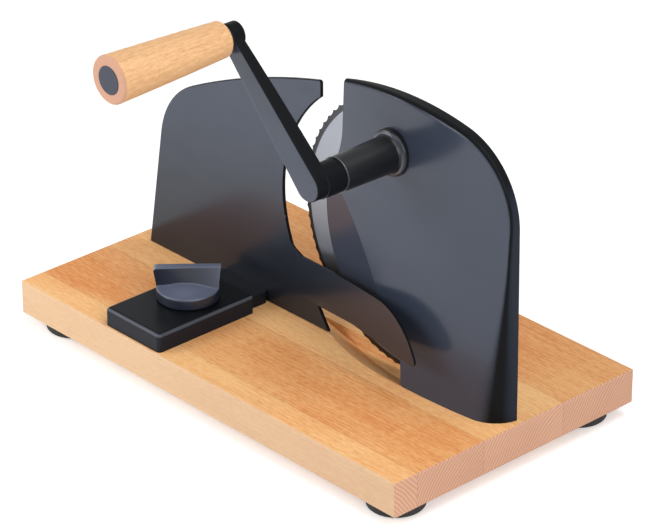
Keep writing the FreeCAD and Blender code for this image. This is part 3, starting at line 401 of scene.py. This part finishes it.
plastic = {
    "grain": (2.0, 0.6),  # detail and roughness
    "cloud": (35.0, 3.0),
    "shares": {"cloud": 0.6, "grain": 0.3},
    "roughness": {"grain": 0.10, "cloud": 0.04},
    "bumpStrength": 0.5,
}


def makePlastic(name, light, dark, roughness, scale, depth, gloss=0.5):
    w = plastic
    material, start, here = newMaterial(name)
    grain = here.noise(scale, *w["grain"])
    cloud = here.noise(*w["cloud"])
    s, r = w["shares"], w["roughness"]
    colour = (cloud * s["cloud"] + grain * s["grain"]).clip().paint(light, dark)
    surface(start, Base_Color=colour,
            Roughness=(roughness + grain * r["grain"] + cloud * r["cloud"]).clip(),
            Normal=grain.bump(depth, w["bumpStrength"]), Specular_IOR_Level=gloss)
    return material


# slide block: top painted darker than the sides, a painted shade, and a painted highlight on its rounded edges
slideBlock = {
    "side": rgb(0.012, 0.0135, 0.020),
    "top": rgb(0.0035, 0.0040, 0.0055),
    "rounding": rgb(0.100, 0.108, 0.132),  # painted highlight on the rounded edges
    "roughness": 0.30,
    "gloss": 0.12,
}
# knob: top and rounded edges painted lighter than the sides, a painted highlight
knobPlastic = {
    "side": rgb(0.016, 0.020, 0.034),
    "top": rgb(0.088, 0.103, 0.150),
    "rounding": rgb(0.088, 0.103, 0.150),
    "roughness": 0.26,
    "gloss": 0.45,
}
paintedLightByFacing = {
    "grain": (2200.0, 2.0, 0.6),
    "cloud": (40.0, 3.0),
    "top": (0.55, 0.97),  # how squarely a face looks up
    "roundingStart": (0.12, 0.50),
    "roundingEnd": (0.72, 0.96),
    "roundingShares": {"cloud": 0.5, "base": 0.45},
    "roughness": {"grain": 0.10, "cloud": 0.04},
    "bump": (0.00003, 0.4),
}


# colours painted by which way a face looks: painted light and shade on tops, sides and rounded edges
def makePlasticWithPaintedLight(name, w):
    material, start, here = newMaterial(name)
    up = coordinate(start, "normal").parts()[2]
    grain = here.noise(*paintedLightByFacing["grain"])
    cloud = here.noise(*paintedLightByFacing["cloud"])
    top = up.span(*paintedLightByFacing["top"])
    rounding = up.span(*paintedLightByFacing["roundingStart"]) * (1 - up.span(*paintedLightByFacing["roundingEnd"]))
    s, r = paintedLightByFacing["roundingShares"], paintedLightByFacing["roughness"]
    # painted light and shade: tops and sides coloured apart, rounded edges given a painted highlight
    colour = top.paint(w["side"], w["top"])
    colour = (rounding * (cloud * s["cloud"] + s["base"])).clip().paint(colour, w["rounding"])
    surface(start, Base_Color=colour,
            Roughness=(w["roughness"] + grain * r["grain"] + cloud * r["cloud"]).clip(),
            Normal=grain.bump(*paintedLightByFacing["bump"]), Specular_IOR_Level=w["gloss"])
    return material


looks = {  # by material slot
    "board_beech": makeBoardWood(),
    "grip_beech": makeGripWood(),
    "black_lacquer": makeLacquer("satinBlackLacquer", gloss=0.05),
    "blade_steel": makeBladeSteel(),
    "screw_steel": makeMetal("zincPlatedSteel", light=rgb(0.62, 0.62, 0.60), dark=rgb(0.42, 0.42, 0.40),
                             roughness=0.28, scale=900.0),
    "bearing_bronze": makeMetal("sinteredBronze", light=rgb(0.60, 0.42, 0.22), dark=rgb(0.40, 0.26, 0.12),
                                roughness=0.42, scale=2600.0),
    "gear_nylon": makePlastic("naturalNylon", light=rgb(0.74, 0.72, 0.64), dark=rgb(0.62, 0.59, 0.50),
                              roughness=0.42, scale=900.0, depth=0.00003),
    "black_plastic": makePlastic("texturedBlackPlastic", light=rgb(0.008, 0.009, 0.013),
                                 dark=rgb(0.012, 0.013, 0.018), roughness=0.30, scale=2200.0,
                                 depth=0.00003, gloss=0.12),
    "black_rubber": makePlastic("blackRubber", light=rgb(0.016, 0.016, 0.017), dark=rgb(0.030, 0.030, 0.030),
                                roughness=0.72, scale=1300.0, depth=0.00008),
}
ownLooks = {  # by node, in place of the slot's
    # the housing: more painted sheen at its foot and a painted sheen on its right side
    "blade_housing": makeLacquer("housingLacquer", gloss=0.05, paintedSheenFootShare=0.85, paintedSheenRightShare=0.35),
    "bearing_sleeve": makeLacquer("glossBlackLacquer", gloss=0.30),
    # the slide block with a painted shade on its top and a painted highlight on its rounded edges
    "adjuster_housing": makePlasticWithPaintedLight("paintedHighlightPlastic", slideBlock),
    "grip_end_plug": makePlastic("plugPlastic", light=rgb(0.030, 0.035, 0.056), dark=rgb(0.040, 0.045, 0.068),
                                 roughness=0.34, scale=2600.0, depth=0.00002, gloss=0.25),
    "crank_washer": makeMetal("darkWasherSteel", light=rgb(0.16, 0.17, 0.18), dark=rgb(0.08, 0.08, 0.09),
                              roughness=0.40, scale=900.0),
}
for part in frame["record"]["subparts"]:
    mesh = nodes[part["node"]].data
    mesh.materials.clear()
    mesh.materials.append(ownLooks.get(part["node"], looks[part["material_slot"]]))
print("materials on", len(nodes), "nodes")


def addPiece(name, add, **settings):  # a primitive, alone and selected
    bpy.ops.object.select_all(action="DESELECT")
    add(**settings)
    piece = bpy.context.object
    piece.name = piece.data.name = name
    return piece


def pick(piece, kind, test):  # in edit mode: select the parts whose corners all pass the test
    bpy.ops.mesh.select_mode(type=kind)
    bpy.ops.mesh.select_all(action="DESELECT")
    mesh = bmesh.from_edit_mesh(piece.data)
    parts = {"VERT": mesh.verts, "EDGE": mesh.edges, "FACE": mesh.faces}[kind]
    for part in parts:
        corners = [part] if kind == "VERT" else part.verts
        part.select_set(all(test(piece.matrix_world @ corner.co) for corner in corners))
    bmesh.update_edit_mesh(piece.data)


def useModifier(piece, kind, **settings):
    bpy.ops.object.select_all(action="DESELECT")
    bpy.context.view_layer.objects.active = piece
    piece.select_set(True)
    modifier = piece.modifiers.new(kind.lower(), kind)
    for name, value in settings.items():
        setattr(modifier, name, value)
    bpy.ops.object.modifier_apply(modifier=modifier.name)


knob = {
    "axis": (-0.0684, -0.0544),
    "sides": 128,
    "radius": 0.02085,
    "bottom": 0.0476,
    "rimTop": 0.0552,
    "crownRise": 0.0027,  # the face's middle over its rim
    "rings": 12,
    "rimRounding": 0.0011,
    "rimSegments": 5,
    "cubeSize": 0.01,  # the thumb grip starts as a cube
    "gripTurn": 47.15,  # degrees from +X to the grip's length
    "gripTop": 0.0689,
    "gripFoot": 0.0546,
    "gripCorners": (  # sides in x and y, then along and across the grip at its top and at its foot
        (-1, -1, (-0.0227, 0.0026), (-0.0208, 0.0003)),
        (1, -1, (0.0220, -0.0008), (0.0202, 0.0052)),
        (1, 1, (0.0220, -0.0055), (0.0180, -0.0105)),
        (-1, 1, (-0.0227, -0.0046), (-0.0180, -0.0105)),
    ),
    "cuts": 9,
    "thumbRounding": 0.0034,
    "thumbSegments": 6,
    "edgeRounding": 0.0011,
    "edgeSegments": 4,
    "edgeAngle": 35,  # degrees
    "voxel": 0.00036,
    "smoothing": {"factor": 0.5, "iterations": 9},
    "facesKept": 0.5,
    "nearby": 1e-5,
}


def makeKnobDisc():
    w = knob
    x0, y0 = w["axis"]
    disc = addPiece("thicknessKnob", bpy.ops.mesh.primitive_cylinder_add, vertices=w["sides"],
                    radius=w["radius"], depth=w["rimTop"] - w["bottom"],
                    location=(x0, y0, (w["rimTop"] + w["bottom"]) / 2))
    bpy.ops.object.mode_set(mode="EDIT")
    pick(disc, "FACE", lambda p: p.z > w["rimTop"] - w["nearby"])
    height, step = 0.0, w["radius"] / (w["rings"] + 1)
    for i in range(w["rings"]):
        wave = math.cos(math.pi * (i + 1) / w["rings"])  # level at the rim and in the middle
        wanted = w["crownRise"] / 2 * (1 - wave)
        bpy.ops.mesh.inset(thickness=step, depth=0)
        bpy.ops.transform.translate(value=(0, 0, wanted - height))
        height = wanted
    pick(disc, "EDGE", lambda p: abs(p.z - w["rimTop"]) < w["nearby"]
         and math.hypot(p.x - x0, p.y - y0) > w["radius"] - w["nearby"])
    bpy.ops.mesh.bevel(offset=w["rimRounding"], segments=w["rimSegments"])
    bpy.ops.object.mode_set(mode="OBJECT")
    return disc


def makeThumbGrip():
    w = knob
    x0, y0 = w["axis"]
    wall = addPiece("thumbGrip", bpy.ops.mesh.primitive_cube_add, size=w["cubeSize"],
                    location=(x0, y0, w["gripTop"]))
    turn, half = math.radians(w["gripTurn"]), w["cubeSize"] / 2
    along = Vector((math.cos(turn), math.sin(turn), 0))
    across = Vector((math.sin(turn), -math.cos(turn), 0))
    moves = []
    for sideX, sideY, top, foot in w["gripCorners"]:
        for up, (r, t), z in ((1, top, w["gripTop"]), (-1, foot, w["gripFoot"])):
            start = Vector((x0 + sideX * half, y0 + sideY * half, w["gripTop"] + up * half))
            end = Vector((x0, y0, z)) + along * r + across * t
            moves.append((start, end))
    bpy.ops.object.mode_set(mode="EDIT")
    for start, end in moves:
        pick(wall, "VERT", lambda p: (p - start).length < w["nearby"])
        bpy.ops.transform.translate(value=end - start)
    bpy.ops.mesh.select_all(action="SELECT")
    bpy.ops.mesh.subdivide(number_cuts=w["cuts"])  # the walls twist, so they need rows of faces
    ends = [end for start, end in moves if start.z > w["gripTop"] and start.x < x0]
    thumbEdge = (ends[1] - ends[0]).normalized()
    pick(wall, "EDGE", lambda p: (p - ends[0]).cross(thumbEdge).length < w["nearby"])
    bpy.ops.mesh.bevel(offset=w["thumbRounding"], segments=w["thumbSegments"])
    bpy.ops.mesh.select_all(action="SELECT")
    bpy.ops.mesh.normals_make_consistent(inside=False)
    bpy.ops.object.mode_set(mode="OBJECT")
    useModifier(wall, "BEVEL", width=w["edgeRounding"], segments=w["edgeSegments"], limit_method="ANGLE",
                angle_limit=math.radians(w["edgeAngle"]))
    return wall


def makeKnob():
    disc, wall = makeKnobDisc(), makeThumbGrip()
    useModifier(disc, "BOOLEAN", object=wall, operation="UNION", solver="EXACT")
    bpy.data.objects.remove(wall)
    useModifier(disc, "REMESH", mode="VOXEL", voxel_size=knob["voxel"])
    useModifier(disc, "SMOOTH", **knob["smoothing"])
    useModifier(disc, "DECIMATE", ratio=knob["facesKept"])
    bpy.ops.object.transform_apply(location=True, rotation=True, scale=True)
    bpy.ops.object.shade_smooth()
    disc.data.materials.clear()
    # the knob with painted light on its top and rounded edges
    disc.data.materials.append(makePlasticWithPaintedLight("satinKnobPlastic", knobPlastic))
    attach(disc, "knob")
    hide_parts("thickness_knob")


makeKnob()
print("thickness knob modelled")


studio = {
    "floorSize": 6.0,
    "floorTone": 0.90,
    "floorGlow": 0.36,
    "farGlow": 0.44,  # added where the lamps no longer reach, so the floor meets the world in white
    "glowReach": (0.45, 1.60),
    "worldLight": 0.26,  # on the object; what is seen or mirrored is white
    "lamps": (  # name, place, aim, size along x and y, power
        ("keyLeft", (-0.80, -1.00, 0.60), (-0.05, -0.05, 0.08), (0.9, 0.7), 6.0),
        ("floorLeft", (-0.34, -0.66, 0.46), (-0.22, -0.38, 0.0), (0.6, 0.4), 2.6),
        ("topSoft", (0.60, 0.15, 1.50), (0.10, 0.0, 0.05), (1.0, 1.0), 12.5),
        ("fillRight", (1.35, -0.45, 0.85), (0.05, 0.0, 0.08), (0.9, 0.9), 12.0),
    ),
}


def aimAt(thing, place, target):
    thing.location = place
    thing.rotation_mode = "QUATERNION"
    thing.rotation_quaternion = (Vector(target) - Vector(place)).to_track_quat("-Z", "Y")


def seenRays(start):  # 1 for rays that are seen, mirrored or let through, 0 for the light on a surface
    rays = start.add("LightPath").socket.node.outputs
    camera, glossy, through = (Wire(start.tree, rays[name])
                               for name in ("Is Camera Ray", "Is Glossy Ray", "Is Transmission Ray"))
    return (camera + glossy + through).clip()


def makeFloor():
    bpy.ops.object.select_all(action="DESELECT")
    bpy.ops.mesh.primitive_plane_add(size=studio["floorSize"], location=(0, 0, 0))
    floor = bpy.context.object
    floor.name = "studioFloor"
    material, start, here = newMaterial("paleFloor")
    tone = studio["floorTone"]
    x, y = here.parts()[:2]
    shine = x.reach(y).span(*studio["glowReach"]) * studio["farGlow"] + studio["floorGlow"]
    matt = start.add("BsdfDiffuse", None, {"Color": rgb(tone, tone, tone)})
    glow = start.add("Emission", None, {"Color": rgb(1, 1, 1), "Strength": seenRays(start) * shine})
    both = start.add("AddShader", None, {0: matt, 1: glow})
    start.add("OutputMaterial", None, {"Surface": both})
    floor.data.materials.append(material)


def makeWorld():
    world = bpy.data.worlds.new("whiteStudio")
    world.use_nodes = True
    world.node_tree.nodes.clear()
    start = Wire(world.node_tree)
    strength = seenRays(start) * (1.0 - studio["worldLight"]) + studio["worldLight"]
    start.add("OutputWorld", None, {"Surface": start.add("Background", None, {"Strength": strength})})
    bpy.context.scene.world = world


def makeLamps():
    for name, place, aim, size, power in studio["lamps"]:
        lamp = bpy.data.lights.new(name, "AREA")
        lamp.shape, lamp.size, lamp.size_y, lamp.energy = "RECTANGLE", size[0], size[1], power
        holder = bpy.data.objects.new(name, lamp)
        bpy.context.scene.collection.objects.link(holder)
        holder.visible_camera = False
        aimAt(holder, place, aim)


view = {
    "place": (1.5292, -1.4100, 1.1604),
    "azimuth": 47.17,
    "elevation": 27.51,
    "lens": 198.73,
    "sensor": 36.0,
    "farthest": 20.0,
}


def makeCamera():
    data = bpy.data.cameras.new("productCamera")
    data.lens, data.sensor_width, data.clip_end = view["lens"], view["sensor"], view["farthest"]
    camera = bpy.data.objects.new("productCamera", data)
    bpy.context.scene.collection.objects.link(camera)
    turn, rise = math.radians(view["azimuth"]), math.radians(view["elevation"])
    ahead = Vector((-math.sin(turn) * math.cos(rise), math.cos(turn) * math.cos(rise), -math.sin(rise)))
    aimAt(camera, view["place"], Vector(view["place"]) + ahead)
    bpy.context.scene.camera = camera


makeFloor()
makeWorld()
makeLamps()
makeCamera()
bpy.context.scene.view_settings.view_transform = "Standard"
print("studio ready")
